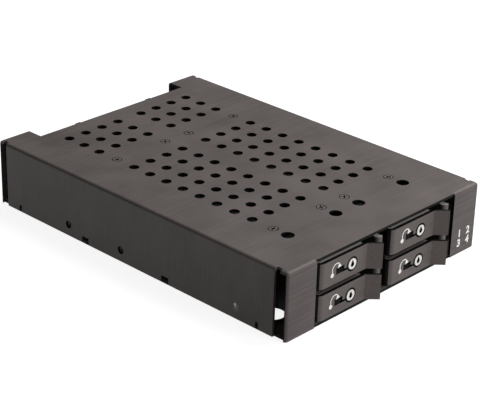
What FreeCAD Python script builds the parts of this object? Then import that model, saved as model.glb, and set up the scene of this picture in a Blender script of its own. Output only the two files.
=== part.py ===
import FreeCAD, Part
import os
from FreeCAD import Vector

# Hot swap drive cage for a 3.5 inch bay, with four swing-handle trays.
# Millimetres. x runs to the right seen from the front, y runs from the front to the rear, z is up.
# The origin lies in the middle of the underside. A "depth" is measured back from the front plane.

os.makedirs("parts", exist_ok=True)

RIGHTWARD = Vector(1, 0, 0)
REARWARD = Vector(0, 1, 0)
UPWARD = Vector(0, 0, 1)
SIDES = (-1, 1)

# Chassis
chassis_width = 101.6
chassis_height = 25.4
chassis_length = 146.0
sheet = 1.0
bend_radius = 1.2

# Cover shell
face_side_gap = 1.4
frame_side_gap = 1.45
side_plate_front = 5.8
side_plate_rear_gap = 4.3
top_front_setback = 0.3
top_rear_setback = 7.6
relief_length = 2.4
relief_depth = 1.6
rear_bump_width = 2.5
rear_bump_reach = 0.5

# Vents in the top
vent_diameter = 3.8
vent_column_pitch = 8.12
vent_row_pitch = 8.4
vent_columns = 4
vent_rows_rear = 3
vent_front_depth = 35.0
vent_rear_inset = 16.6
vent_screw_gap = 9.0

# Side mounting holes
side_hole_diameter = 3.0
side_hole_height = 4.45
side_hole_front = 22.6
side_hole_spacing = 84.3
side_hole_middle = 78.9
side_nut_diameter = 5.2
side_nut_length = 2.0
thread_core = 2.5

# Notches in the lower edge of the side plates, with the tabs of the bottom plate in them
notch_height = 2.6
wide_notch = 3.6
narrow_notch = 1.3
wide_notch_front = 56.4
wide_notch_rear = 97.8
narrow_notch_front = 12.9
narrow_notch_rear_inset = 11.6
tab_clearance = 0.15

# Bottom plate
bottom_hole_diameter = 10.0
bottom_hole_inset = 10.5
bottom_hole_depth = 15.8

# Screws in the top
top_screw_diameter = 2.0
top_screw_head = 3.8
top_screw_length = 2.4
top_screw_spacing = 24.3
top_screw_front = 25.3
top_screw_rear_inset = 43.0
access_hole_diameter = 4.7
access_hole_depth = 18.7

# Tray positions
column_pitch = 36.5
row_gap = 2.3
top_gap = 1.8
lowest_face_height = 1.3

# Bay frame
frame_front_clearance = 0.1
frame_wall = 1.0
shelf_thickness = 1.1
strap_thickness = 1.5
strap_length = 7.0
ledge_reach = 0.6
ledge_height = 1.45
frame_foot_width = 6.0
frame_foot_length = 8.0
frame_foot_height = 2.0
frame_foot_front = 40.0
frame_foot_rear = 86.0
frame_boss = 4.6
frame_boss_length = 7.0

# Tray
face_width = 34.1
tray_width = 30.8
tray_wall = 1.2
tray_floor = 1.0
tray_floor_lift = 0.3
tray_wall_drop = 1.2
rib_reach = 0.65
rib_bottom = 3.5
rib_height = 1.5
slide_clearance = 0.05
side_clearance = 0.15
bezel_gap = 0.4
bezel_thickness = 0.95
post_corner = 1.5
scoop_depth = 7.2
post_width = 2.4
post_front = 0.4
post_drop = 0.3
ear_reach = 1.3
ear_bottom = 3.3
ear_drop = 0.8
board_pad_height = 0.6
board_pad_width = 1.7

# Handle
handle_thickness = 1.0
flat_length = 24.0
flare_reach = 3.8
flare_out = 3.9
curl_radius = 2.6
knuckle_height = 3.1
knuckle_overlap = 0.05
knuckle_room = 0.15
arm_clearance = 0.1
pin_inset = 0.3
pin_radius = 0.5
pin_fit = 0.05

# Lock
lock_inset = 16.55
lock_height = 4.5
lock_bush_radius = 2.7
lock_plug_radius = 1.95
lock_fit = 0.04
lock_proud = 0.15
lock_bush_length = 1.15
cam_radius = 3.4
cam_width = 1.6
cam_thickness = 0.6
cam_room = 0.35
keyway_circle = 0.85
keyway_drop = 0.2
keyway_tip_width = 0.5
keyway_tip_rise = 1.3
keyway_depth = 0.9

# Latch
latch_inset = 8.4
latch_travel = 1.4
latch_window_height = 2.4
latch_button_length = 2.5
latch_fit = 0.1
latch_flange = 0.45
latch_flange_lip = 0.5
latch_skin = 0.5
tongue_length = 1.0
tongue_height = 1.2
tongue_reach = 1.1
tail_slot_height = 0.8

# Module fitting in a tray
module_width = 22.0
short_module_length = 80.0
module_height_over_board = 1.3
standoff_radius = 2.2
standoff_clearance = 0.75
module_screw_radius = 1.0
module_screw_head_radius = 1.75
module_screw_head = 1.0
adapter_board_length = 10.0
board_thickness = 1.0
board_side_clearance = 0.2
module_socket_length = 5.2
module_socket_height = 3.4
module_slot_height = 1.1
module_slot_depth = 4.0
plug_width = 22.6
plug_height = 2.4
plug_length = 7.2
plug_overhang = 5.7
plug_end_gap = 0.3
plug_nose_radius = 0.4

# Backplane and its connectors
backplane_inset = 11.5
backplane_thickness = 1.6
backplane_side_clearance = 2.0
backplane_edge_clearance = 0.3
socket_length = 6.0
socket_wall = 1.0
socket_fit = 0.2
socket_slot_depth = 4.6
host_width = 17.0
host_height = 5.6
host_length = 9.0
host_wall = 0.6
host_tongue = 0.9
host_tongue_margin = 2.4
host_floor = 1.5
power_width = 6.0
power_height = 20.4
power_length = 6.0
power_wall = 1.1
power_tongue = 1.2
capacitor_diameter = 5.0
capacitor_length = 7.0
capacitor_edge = 1.95
backplane_screw_diameter = 2.0
backplane_screw_head = 3.8
backplane_screw_head_height = 1.2
backplane_screw_length = 6.0
base_screw_diameter = 2.5
base_screw_head = 4.4
base_screw_length = 2.8

# Places that follow from the sizes above
front_y = -chassis_length / 2
rear_y = chassis_length / 2
half_width = chassis_width / 2
top_underside = chassis_height - sheet
face_height = (top_underside - top_gap - row_gap - lowest_face_height) / 2
row_pitch = face_height + row_gap
tray_wall_top = face_height - tray_wall_drop
column_x = column_pitch / 2
top_screw_rear = chassis_length - top_screw_rear_inset
vent_rear_depth = chassis_length - vent_rear_inset - (vent_rows_rear - 1) * vent_row_pitch
vent_room = top_screw_rear - vent_screw_gap - vent_front_depth
vent_rows_front = int(vent_room / vent_row_pitch) + 1
tray_half = tray_width / 2
face_half = face_width / 2
frame_inner = tray_half + rib_reach + side_clearance
frame_outer = frame_inner + frame_wall
frame_side = column_x + frame_outer
frame_front = 2 * curl_radius + frame_front_clearance
frame_rear = chassis_length - backplane_inset
front_open = column_x + face_half + face_side_gap
rear_open = frame_side + frame_side_gap
bezel_front = handle_thickness + bezel_gap
bezel_back = bezel_front + bezel_thickness
hinge_x = -face_half + curl_radius
hinge_depth = curl_radius
knuckle_radius = curl_radius - handle_thickness + knuckle_overlap
arm_radius = curl_radius - bezel_front
lock_x = -face_half + lock_inset
bend_x = -face_half + flat_length
scoop_left = bend_x - handle_thickness
post_left = tray_half - post_width
latch_x = -face_half + latch_inset
latch_window_length = latch_button_length + latch_travel + 2 * latch_fit
floor_top = tray_floor_lift + tray_floor
board_bottom = floor_top + board_pad_height
board_top = board_bottom + board_thickness
module_underside = board_top + module_height_over_board
backplane_rear = frame_rear + backplane_thickness
backplane_half = half_width - sheet - backplane_side_clearance
plug_rear = frame_rear - socket_length + socket_slot_depth - plug_end_gap
tray_rear = plug_rear - plug_overhang
module_front = scoop_depth + bezel_thickness + standoff_radius + standoff_clearance
module_rear = tray_rear - adapter_board_length + module_slot_depth

COLUMNS = (("left", -column_x), ("right", column_x))
ROWS = (("lower", lowest_face_height), ("upper", lowest_face_height + row_pitch))


def block(x0, x1, y0, y1, z0, z1):
    return Part.makeBox(x1 - x0, y1 - y0, z1 - z0, Vector(x0, y0, z0))


def deep_block(x0, x1, depth0, depth1, z0, z1):
    return block(x0, x1, front_y + depth0, front_y + depth1, z0, z1)


def round_along(shape, radius, direction, test):
    edges = []
    for edge in shape.Edges:
        if abs(edge.tangentAt(edge.FirstParameter).dot(direction)) > 0.99 and test(edge.CenterOfMass):
            edges.append(edge)
    return shape.makeFillet(radius, edges)


def joined(pieces):
    return pieces[0].multiFuse(pieces[1:]).removeSplitter()


def save(name, shape):
    shape.exportStep("parts/" + name + ".step")


# Cover shell: one folded sheet with its flanges, vents and holes
def box_with_rounded_top(inset, radius, foot):
    top = chassis_height - inset
    side = half_width - inset
    end = rear_y - inset
    solid = block(-side, side, -end, end, foot, top)
    solid = round_along(solid, radius, REARWARD, lambda c: c.z > top - radius / 2)
    return round_along(solid, radius, RIGHTWARD, lambda c: c.z > top - radius / 2)


def top_screw_places():
    places = []
    for name, column in COLUMNS:
        for side in SIDES:
            for depth in (top_screw_front, top_screw_rear):
                places.append(Vector(column + side * top_screw_spacing / 2, front_y + depth, chassis_height))
    return places


def vent_places():
    rows = [vent_front_depth + vent_row_pitch * row for row in range(vent_rows_front)]
    rows += [vent_rear_depth + vent_row_pitch * row for row in range(vent_rows_rear)]
    places = []
    for name, column in COLUMNS:
        for index in range(vent_columns):
            x = column + (index - (vent_columns - 1) / 2) * vent_column_pitch
            for depth in rows:
                places.append(Vector(x, front_y + depth, top_underside))
    return places


def side_hole_depths():
    return (side_hole_front, side_hole_middle, side_hole_front + side_hole_spacing)


def notches():
    return (
        (narrow_notch_front, narrow_notch),
        (wide_notch_front, wide_notch),
        (wide_notch_rear, wide_notch),
        (chassis_length - narrow_notch_rear_inset, narrow_notch),
    )


def countersink(place, downward, hole, head):
    depth = (head - hole) / 2
    cone = Part.makeCone(head / 2, hole / 2, depth, place, downward)
    return cone.fuse(Part.makeCylinder(hole / 2, sheet, place, downward))


def cover_shell():
    shell = box_with_rounded_top(0, bend_radius, 0).cut(
        box_with_rounded_top(sheet, bend_radius - sheet, -sheet))
    side_rear = chassis_length - side_plate_rear_gap
    cuts = [deep_block(-front_open, front_open, -sheet, side_plate_front, -sheet, chassis_height + sheet)]
    top_rear = chassis_length - top_rear_setback
    cuts.append(deep_block(-rear_open, rear_open, top_rear, chassis_length + sheet,
                           -sheet, chassis_height + sheet))
    for side in SIDES:
        outer = side * (half_width + sheet)
        inner = side * (half_width - bend_radius)
        x0, x1 = min(outer, inner), max(outer, inner)
        cuts.append(deep_block(x0, x1, sheet, side_plate_front, -sheet, top_underside))
        cuts.append(deep_block(x0, x1, side_rear, chassis_length - sheet, -sheet, top_underside))
        inner = side * (half_width - relief_depth)
        x0, x1 = min(outer, inner), max(outer, inner)
        cuts.append(deep_block(x0, x1, side_plate_front - relief_length, side_plate_front,
                               -sheet, chassis_height + sheet))
        cuts.append(deep_block(x0, x1, side_rear, side_rear + relief_length,
                               -sheet, chassis_height + sheet))
        wall = side * (half_width + sheet)
        for depth in side_hole_depths():
            cuts.append(Part.makeCylinder(side_hole_diameter / 2, 3 * sheet,
                                          Vector(wall, front_y + depth, side_hole_height), RIGHTWARD * -side))
        x0 = min(wall, wall - side * 3 * sheet)
        for depth, width in notches():
            cuts.append(deep_block(x0, x0 + 3 * sheet, depth - width / 2, depth + width / 2,
                                   -sheet, notch_height))
    for place in vent_places():
        cuts.append(Part.makeCylinder(vent_diameter / 2, 2 * sheet, place, UPWARD))
    for place in top_screw_places():
        cuts.append(countersink(place, UPWARD * -1, top_screw_diameter, top_screw_head))
    for name, column in COLUMNS:
        for side in SIDES:
            place = Vector(column + side * top_screw_spacing / 2, front_y + access_hole_depth, top_underside)
            cuts.append(Part.makeCylinder(access_hole_diameter / 2, 2 * sheet, place, UPWARD))
    shell = shell.cut(Part.makeCompound(cuts))
    pieces = [shell]
    pieces.append(deep_block(-front_open, front_open, top_front_setback, side_plate_front,
                             top_underside, chassis_height))
    for name, column in COLUMNS:
        pieces.append(deep_block(column - rear_bump_width / 2, column + rear_bump_width / 2,
                                 top_rear, top_rear + rear_bump_reach, top_underside, chassis_height))
    return joined(pieces)


# Bottom plate with a tab in each side notch
def bottom_plate():
    inside = half_width - sheet
    pieces = [deep_block(-inside, inside, sheet, chassis_length - sheet, 0, sheet)]
    pieces.append(deep_block(-front_open, front_open, top_front_setback, sheet, 0, sheet))
    pieces.append(deep_block(-rear_open, rear_open, chassis_length - sheet,
                             chassis_length - top_front_setback, 0, sheet))
    for depth, width in notches():
        half = width / 2 - tab_clearance
        pieces.append(deep_block(-half_width, half_width, depth - half, depth + half, 0, sheet))
    plate = joined(pieces)
    cuts = []
    for side in SIDES:
        place = Vector(side * (half_width - bottom_hole_inset), front_y + bottom_hole_depth, -sheet)
        cuts.append(Part.makeCylinder(bottom_hole_diameter / 2, 3 * sheet, place, UPWARD))
    for place in foot_screw_places():
        cuts.append(countersink(place, UPWARD, base_screw_diameter, base_screw_head))
    return plate.cut(Part.makeCompound(cuts))


# Bay frame: walls, middle shelf, top straps and guide ledges in one moulding
def foot_screw_places():
    places = []
    for side in SIDES:
        for depth in (frame_foot_front, frame_foot_rear):
            places.append(Vector(side * (frame_side + frame_foot_width / 2), front_y + depth, 0))
    return places


def boss_heights():
    middle = lowest_face_height + face_height / 2
    return (middle, middle + row_pitch)


def bay_frame():
    pieces = []
    shelf_middle = lowest_face_height + face_height + (row_pitch - face_height) / 2
    pieces.append(deep_block(-frame_side, frame_side, frame_front, frame_rear,
                             shelf_middle - shelf_thickness / 2, shelf_middle + shelf_thickness / 2))
    for name, column in COLUMNS:
        for side in SIDES:
            inner = column + side * frame_inner
            outer = column + side * frame_outer
            pieces.append(deep_block(min(inner, outer), max(inner, outer), frame_front, frame_rear,
                                     sheet, top_underside))
            ledge = inner - side * ledge_reach
            x0, x1 = min(inner, ledge), max(inner, ledge)
            for row, height in ROWS:
                under = height + rib_bottom - slide_clearance
                over = height + rib_bottom + rib_height + slide_clearance
                pieces.append(deep_block(x0, x1, frame_front, frame_rear - socket_length,
                                         under - ledge_height, under))
                pieces.append(deep_block(x0, x1, frame_front, frame_rear - socket_length,
                                         over, over + ledge_height))
        for middle in (top_screw_front, top_screw_rear):
            pieces.append(deep_block(column - frame_outer, column + frame_outer,
                                     middle - strap_length / 2, middle + strap_length / 2,
                                     top_underside - strap_thickness, top_underside))
    for side in SIDES:
        inner = side * frame_side
        outer = side * (frame_side + frame_foot_width)
        for depth in (frame_foot_front, frame_foot_rear):
            pieces.append(deep_block(min(inner, outer), max(inner, outer), depth - frame_foot_length / 2,
                                     depth + frame_foot_length / 2, sheet, sheet + frame_foot_height))
        outer = side * (frame_side + frame_boss)
        for height in boss_heights():
            pieces.append(deep_block(min(inner, outer), max(inner, outer), frame_rear - frame_boss_length,
                                     frame_rear, height - frame_boss / 2, height + frame_boss / 2))
    frame = joined(pieces)
    cuts = []
    for place in top_screw_places():
        cuts.append(Part.makeCylinder(top_screw_diameter / 2, sheet + strap_thickness, place, UPWARD * -1))
    for place in foot_screw_places():
        cuts.append(Part.makeCylinder(base_screw_diameter / 2, sheet + frame_foot_height, place, UPWARD))
    for place in backplane_screw_places():
        cuts.append(Part.makeCylinder(backplane_screw_diameter / 2, backplane_screw_length, place,
                                      REARWARD * -1))
    return frame.cut(Part.makeCompound(cuts))


# Countersunk screws in the top and in the bottom plate
def flat_head_screw(place, inward, diameter, head, length):
    cone_depth = (head - diameter) / 2
    cone = Part.makeCone(head / 2, diameter / 2, cone_depth, place, inward)
    screw = cone.fuse(Part.makeCylinder(diameter / 2, length, place, inward))
    return screw.removeSplitter()


def cover_screws():
    screws = []
    for place in top_screw_places():
        screws.append(flat_head_screw(place, UPWARD * -1, top_screw_diameter, top_screw_head,
                                      top_screw_length))
    return Part.makeCompound(screws)


def base_screws():
    screws = []
    for place in foot_screw_places():
        screws.append(flat_head_screw(place, UPWARD, base_screw_diameter, base_screw_head,
                                      base_screw_length))
    return Part.makeCompound(screws)


# Threaded collars pressed into the side plates
def side_nuts():
    nuts = []
    for side in SIDES:
        for depth in side_hole_depths():
            place = Vector(side * (half_width - sheet), front_y + depth, side_hole_height)
            nut = Part.makeCylinder(side_nut_diameter / 2, side_nut_length, place, RIGHTWARD * -side)
            bore = Part.makeCylinder(thread_core / 2, side_nut_length, place, RIGHTWARD * -side)
            nuts.append(nut.cut(bore))
    return Part.makeCompound(nuts)


# Backplane board with its screws, sockets and connectors
def backplane_screw_places():
    places = []
    for side in SIDES:
        for height in boss_heights():
            places.append(Vector(side * (frame_side + frame_boss / 2), front_y + frame_rear, height))
    return places


def backplane_board():
    board = deep_block(-backplane_half, backplane_half, frame_rear, backplane_rear,
                       sheet + backplane_edge_clearance, top_underside - backplane_edge_clearance)
    holes = []
    for place in backplane_screw_places():
        holes.append(Part.makeCylinder(backplane_screw_diameter / 2, backplane_thickness, place, REARWARD))
    return board.cut(Part.makeCompound(holes))


def backplane_screws():
    screws = []
    for place in backplane_screw_places():
        seat = place + REARWARD * backplane_thickness
        head = Part.makeCylinder(backplane_screw_head / 2, backplane_screw_head_height, seat, REARWARD)
        shank = Part.makeCylinder(backplane_screw_diameter / 2, backplane_screw_length, seat, REARWARD * -1)
        screws.append(head.fuse(shank).removeSplitter())
    return Part.makeCompound(screws)


def tray_socket(column, height):
    half = plug_width / 2 + socket_fit
    low = height + board_top - socket_fit
    high = height + board_top + plug_height + socket_fit
    body = deep_block(column - half - socket_wall, column + half + socket_wall,
                      frame_rear - socket_length, frame_rear, low - socket_wall, high + socket_wall)
    slot = deep_block(column - half, column + half, frame_rear - socket_length,
                      frame_rear - socket_length + socket_slot_depth, low, high)
    return body.cut(slot)


def host_connector(column, height):
    half = host_width / 2
    middle = height + face_height / 2
    low = middle - host_height / 2
    high = middle + host_height / 2
    body = deep_block(column - half, column + half, backplane_rear, backplane_rear + host_length, low, high)
    body = round_along(body, host_wall, REARWARD, lambda c: True)
    mouth = deep_block(column - half + host_wall, column + half - host_wall, backplane_rear + host_floor,
                       backplane_rear + host_length, low + host_wall, high - host_wall)
    tongue = deep_block(column - half + host_tongue_margin, column + half - host_tongue_margin,
                        backplane_rear, backplane_rear + host_length - host_floor,
                        middle - host_tongue / 2, middle + host_tongue / 2)
    return body.cut(mouth).fuse(tongue).removeSplitter()


def power_connector():
    half = power_width / 2
    middle = (sheet + top_underside) / 2
    low = middle - power_height / 2
    high = middle + power_height / 2
    body = deep_block(-half, half, backplane_rear, backplane_rear + power_length, low, high)
    mouth = deep_block(-half + power_wall, half - power_wall, backplane_rear + 2 * power_wall,
                       backplane_rear + power_length, low + power_wall, high - power_wall)
    tongue = deep_block(-power_tongue / 2, power_tongue / 2, backplane_rear,
                        backplane_rear + power_length - power_wall, low + 2 * power_wall,
                        high - 2 * power_wall)
    return body.cut(mouth).fuse(tongue).removeSplitter()


def board_capacitors():
    cans = []
    for side in SIDES:
        x = side * (backplane_half - capacitor_edge - capacitor_diameter / 2)
        place = Vector(x, front_y + backplane_rear, sum(boss_heights()) / 2)
        cans.append(Part.makeCylinder(capacitor_diameter / 2, capacitor_length, place, REARWARD))
    return Part.makeCompound(cans)


# The parts of one tray are drawn about the middle of its face, with the face plane at y = 0
# and the lower edge of the face at z = 0, and are then moved to their place.
def knuckle_levels():
    middle = face_height / 2
    return (middle - knuckle_height / 2, middle + knuckle_height / 2)


def standoff_places():
    return (Vector(0, module_front, floor_top), Vector(0, module_rear - short_module_length, floor_top))


def tray_body():
    inner = tray_half - tray_wall
    left = hinge_x + side_clearance
    jog = frame_front + tray_wall
    pieces = [block(-tray_half, tray_half, jog, tray_rear, tray_floor_lift, floor_top)]
    for side in SIDES:
        x0, x1 = min(side * tray_half, side * inner), max(side * tray_half, side * inner)
        pieces.append(block(x0, x1, frame_front, tray_rear, tray_floor_lift, tray_wall_top))
        edge = side * (tray_half + rib_reach)
        x0, x1 = min(side * tray_half, edge), max(side * tray_half, edge)
        pieces.append(block(x0, x1, jog, tray_rear, rib_bottom, rib_bottom + rib_height))
        pad = side * (inner - board_pad_width)
        x0, x1 = min(side * inner, pad), max(side * inner, pad)
        pieces.append(block(x0, x1, tray_rear - adapter_board_length, tray_rear, floor_top, board_bottom))
    bezel = block(left, scoop_left, bezel_front, jog, 0, face_height)
    hollow = block(left + bezel_thickness, scoop_left, bezel_back, jog, floor_top, face_height)
    pieces.append(bezel.cut(hollow))
    pieces.append(Part.makeCylinder(arm_radius, face_height, Vector(hinge_x, hinge_depth, 0), UPWARD))
    pieces.append(block(hinge_x, left, bezel_front, hinge_depth, 0, face_height))
    pieces.append(block(scoop_left - bezel_thickness, scoop_left, bezel_back, scoop_depth,
                        tray_floor_lift, face_height - post_drop))
    pieces.append(block(scoop_left - bezel_thickness, tray_half, scoop_depth,
                        scoop_depth + bezel_thickness, tray_floor_lift, face_height - post_drop))
    post = block(post_left, tray_half, post_front, scoop_depth, 0, face_height - post_drop)
    post = round_along(post, post_corner, UPWARD, lambda c: c.x < post_left + post_corner and c.y < jog)
    pieces.append(post)
    ear = block(tray_half, tray_half + ear_reach, bezel_front, frame_front - side_clearance,
                ear_bottom, face_height - ear_drop)
    pieces.append(ear)
    for place in standoff_places():
        pieces.append(Part.makeCylinder(standoff_radius, module_underside - floor_top, place, UPWARD))
    body = joined(pieces)
    cuts = [Part.makeCylinder(pin_radius, face_height, Vector(hinge_x, hinge_depth, 0), UPWARD)]
    low, high = knuckle_levels()
    cuts.append(Part.makeCylinder(knuckle_radius + knuckle_room, high - low + 2 * arm_clearance,
                                  Vector(hinge_x, hinge_depth, low - arm_clearance), UPWARD))
    cuts.append(block(latch_x, latch_x + latch_window_length + tongue_length, bezel_front, bezel_back,
                      lock_height - tongue_height, lock_height + tongue_height))
    cuts.append(Part.makeCylinder(lock_plug_radius + cam_room, bezel_back, Vector(lock_x, 0, lock_height),
                                  REARWARD))
    cuts.append(block(lock_x - cam_width / 2 - cam_room, lock_x + cam_width / 2 + cam_room, bezel_front,
                      bezel_back, lock_height, lock_height + cam_radius + cam_room))
    for place in standoff_places():
        cuts.append(Part.makeCylinder(module_screw_radius, module_underside - floor_top, place, UPWARD))
    return body.cut(Part.makeCompound(cuts))


def handle():
    plate = block(hinge_x, bend_x, 0, handle_thickness, 0, face_height)
    pivot = Vector(hinge_x, hinge_depth, 0)
    curl = Part.makeCylinder(curl_radius, face_height, pivot, UPWARD)
    curl = curl.cut(Part.makeCylinder(curl_radius - handle_thickness, face_height, pivot, UPWARD))
    curl = curl.common(block(-face_half, hinge_x, 0, hinge_depth, 0, face_height))
    reach = Vector(flare_reach, -flare_out, 0)
    across = Vector(flare_out, flare_reach, 0)
    across = across * (handle_thickness / across.Length)
    start = Vector(bend_x, 0, 0)
    inner_bend = Vector(bend_x, handle_thickness, 0)
    inner_flare = Vector(bend_x + across.x / 2, handle_thickness, 0)
    corners = [start, start + reach, start + reach + across, inner_flare, inner_bend]
    flare = Part.Face(Part.makePolygon(corners + [start])).extrude(UPWARD * face_height)
    low, high = knuckle_levels()
    knuckle = Part.makeCylinder(knuckle_radius, high - low, pivot + UPWARD * low, UPWARD)
    body = joined([plate, curl, flare, knuckle])
    cuts = [Part.makeCylinder(pin_radius + pin_fit, face_height, pivot, UPWARD)]
    cuts.append(Part.makeCylinder(lock_bush_radius, handle_thickness, Vector(lock_x, 0, lock_height),
                                  REARWARD))
    low = lock_height - latch_window_height / 2
    high = lock_height + latch_window_height / 2
    cuts.append(block(latch_x, latch_x + latch_window_length, 0, handle_thickness, low, high))
    cuts.append(block(latch_x, lock_x, 0, handle_thickness, low, low + tail_slot_height))
    lip = latch_flange_lip + latch_fit
    cuts.append(block(latch_x - lip, latch_x + latch_window_length + lip, latch_skin, handle_thickness,
                      low - lip, high + lip))
    return body.cut(Part.makeCompound(cuts))


def hinge_pin():
    foot = Vector(hinge_x, hinge_depth, pin_inset)
    return Part.makeCylinder(pin_radius, face_height - 2 * pin_inset, foot, UPWARD)


def lock_bush():
    place = Vector(lock_x, 0, lock_height)
    ring = Part.makeCylinder(lock_bush_radius, lock_bush_length, place, REARWARD)
    return ring.cut(Part.makeCylinder(lock_plug_radius + lock_fit, lock_bush_length, place, REARWARD))


def lock_plug():
    front = Vector(lock_x, -lock_proud, lock_height)
    cam_front = bezel_back + cam_room
    plug = Part.makeCylinder(lock_plug_radius, cam_front + lock_proud, front, REARWARD)
    cam = block(lock_x - cam_width / 2, lock_x + cam_width / 2, cam_front, cam_front + cam_thickness,
                lock_height - cam_width / 2, lock_height + cam_radius)
    eye_centre = front - UPWARD * keyway_drop
    eye = Part.makeCylinder(keyway_circle, keyway_depth + lock_proud, eye_centre, REARWARD)
    tip = front + UPWARD * keyway_tip_rise
    corners = [eye_centre - RIGHTWARD * keyway_circle, eye_centre + RIGHTWARD * keyway_circle,
               tip + RIGHTWARD * (keyway_tip_width / 2), tip - RIGHTWARD * (keyway_tip_width / 2)]
    wedge = Part.Face(Part.makePolygon(corners + corners[:1])).extrude(REARWARD * (keyway_depth + lock_proud))
    return joined([plug, cam]).cut(eye.fuse(wedge))


def latch_button():
    left = latch_x + latch_fit
    right = left + latch_button_length
    low = lock_height - latch_window_height / 2 + latch_fit
    high = lock_height + latch_window_height / 2 - latch_fit
    thumb = block(left, right, 0, handle_thickness, low, high)
    flange = block(left - latch_flange_lip, right + latch_flange_lip, handle_thickness - latch_flange,
                   handle_thickness, low - latch_flange_lip, high + latch_flange_lip)
    middle = (left + right) / 2
    tongue = block(middle - tongue_length / 2, middle + tongue_length / 2, handle_thickness,
                   handle_thickness + tongue_reach, lock_height - tongue_height / 2,
                   lock_height + tongue_height / 2)
    return joined([thumb, flange, tongue])


def adapter_board():
    half = tray_half - tray_wall - board_side_clearance
    return block(-half, half, tray_rear - adapter_board_length, tray_rear, board_bottom, board_top)


def module_socket():
    half = module_width / 2
    front = tray_rear - adapter_board_length
    body = block(-half, half, front, front + module_socket_length,
                 board_top, board_top + module_socket_height)
    slot = block(-half + tray_wall / 2, half - tray_wall / 2, front, front + module_slot_depth,
                 module_underside, module_underside + module_slot_height)
    return body.cut(slot)


def edge_plug():
    half = plug_width / 2
    plug = block(-half, half, plug_rear - plug_length, plug_rear, board_top, board_top + plug_height)
    return round_along(plug, plug_nose_radius, UPWARD, lambda c: c.y > plug_rear - plug_nose_radius)


def module_screw():
    place = Vector(0, module_front, module_underside)
    head = Part.makeCylinder(module_screw_head_radius, module_screw_head, place, UPWARD)
    shank = Part.makeCylinder(module_screw_radius, module_underside - floor_top, place, UPWARD * -1)
    return head.fuse(shank).removeSplitter()


TRAY_PARTS = (
    ("tray", tray_body),
    ("handle", handle),
    ("hinge_pin", hinge_pin),
    ("lock_bush", lock_bush),
    ("lock_plug", lock_plug),
    ("latch_button", latch_button),
    ("adapter_board", adapter_board),
    ("module_socket", module_socket),
    ("edge_plug", edge_plug),
    ("module_screw", module_screw),
)


def save_tray_parts():
    for part_name, draw in TRAY_PARTS:
        shape = draw()
        for row, height in ROWS:
            for side, column in COLUMNS:
                moved = shape.copy()
                moved.translate(Vector(column, front_y, height))
                save(part_name + "_" + row + "_" + side, moved)


def save_row_and_column_parts():
    for row, height in ROWS:
        for side, column in COLUMNS:
            save("tray_socket_" + row + "_" + side, tray_socket(column, height))
            save("host_connector_" + row + "_" + side, host_connector(column, height))


save("cover_shell", cover_shell())
save("bottom_plate", bottom_plate())
save("bay_frame", bay_frame())
save("cover_screws", cover_screws())
save("base_screws", base_screws())
save("side_nuts", side_nuts())
save("backplane_board", backplane_board())
save("backplane_screws", backplane_screws())
save("power_connector", power_connector())
save("board_capacitors", board_capacitors())
save_row_and_column_parts()
save_tray_parts()
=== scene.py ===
import math
import bmesh
import bpy
from mathutils import Matrix, Vector


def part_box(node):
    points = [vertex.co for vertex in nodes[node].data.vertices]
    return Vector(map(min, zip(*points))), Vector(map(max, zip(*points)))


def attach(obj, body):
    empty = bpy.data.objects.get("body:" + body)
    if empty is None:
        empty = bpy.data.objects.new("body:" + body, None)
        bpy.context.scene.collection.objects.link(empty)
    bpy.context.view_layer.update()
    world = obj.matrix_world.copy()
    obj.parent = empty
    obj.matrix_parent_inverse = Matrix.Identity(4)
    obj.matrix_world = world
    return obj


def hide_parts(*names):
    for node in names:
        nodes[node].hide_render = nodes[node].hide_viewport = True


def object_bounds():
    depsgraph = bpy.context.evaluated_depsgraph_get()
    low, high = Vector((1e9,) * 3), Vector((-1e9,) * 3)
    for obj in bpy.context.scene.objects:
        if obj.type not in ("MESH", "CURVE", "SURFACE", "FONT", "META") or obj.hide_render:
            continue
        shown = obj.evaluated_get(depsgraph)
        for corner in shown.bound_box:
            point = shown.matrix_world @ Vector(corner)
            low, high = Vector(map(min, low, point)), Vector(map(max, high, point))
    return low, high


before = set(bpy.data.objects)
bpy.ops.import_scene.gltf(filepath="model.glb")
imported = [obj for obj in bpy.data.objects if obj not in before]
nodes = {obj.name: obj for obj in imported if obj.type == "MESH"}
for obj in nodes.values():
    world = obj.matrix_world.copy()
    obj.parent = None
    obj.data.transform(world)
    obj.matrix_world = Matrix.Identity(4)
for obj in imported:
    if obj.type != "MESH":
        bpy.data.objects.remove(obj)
cad_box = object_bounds()

# Cover shell: one sheet of steel, brushed, blackened and folded down at the sides and corners.
# The brushing runs across the case, down the side plates and along the corner flanges. The walls
# of the vents, the cut ends of the sheet and the front edge of the top are painted near black, as
# painted shade.
MM = 0.001
SHEET = 1.1 * MM
FRONT_OPENING = 36.6 * MM
SQUARE_ON = 0.9
STEEP = 0.5
LINES_ACROSS = (14.0, 5200.0, 2600.0)
LINES_DOWN = (2600.0, 5200.0, 60.0)
LINE_NOISE = {"Scale": 1.0, "Detail": 5.0, "Roughness": 0.7}
LINE_SHARE = 0.65
BLOTCH_NOISE = {"Scale": 60.0, "Detail": 3.0}
BLOTCH_SHARE = 0.35
TONE_SPAN = {"From Min": 0.36, "From Max": 0.64}
LINE_ROUGHNESS = {"To Min": 0.56, "To Max": 0.40}
LINE_DEPTH = 0.2 * MM


def new_material(name):
    material = bpy.data.materials.new(name)
    material.use_nodes = True
    return material, material.node_tree.nodes, material.node_tree.links


def new_group(name, inputs, outputs):
    group = bpy.data.node_groups.new(name, "ShaderNodeTree")
    for direction, sockets in (("INPUT", inputs), ("OUTPUT", outputs)):
        for socket, kind in sockets.items():
            group.interface.new_socket(socket, in_out=direction, socket_type="NodeSocket" + kind)
    tree = group.nodes
    return group, tree, group.links, tree.new("NodeGroupInput"), tree.new("NodeGroupOutput")


def set_inputs(node, values):
    for socket, value in values.items():
        node.inputs[socket].default_value = value


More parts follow.
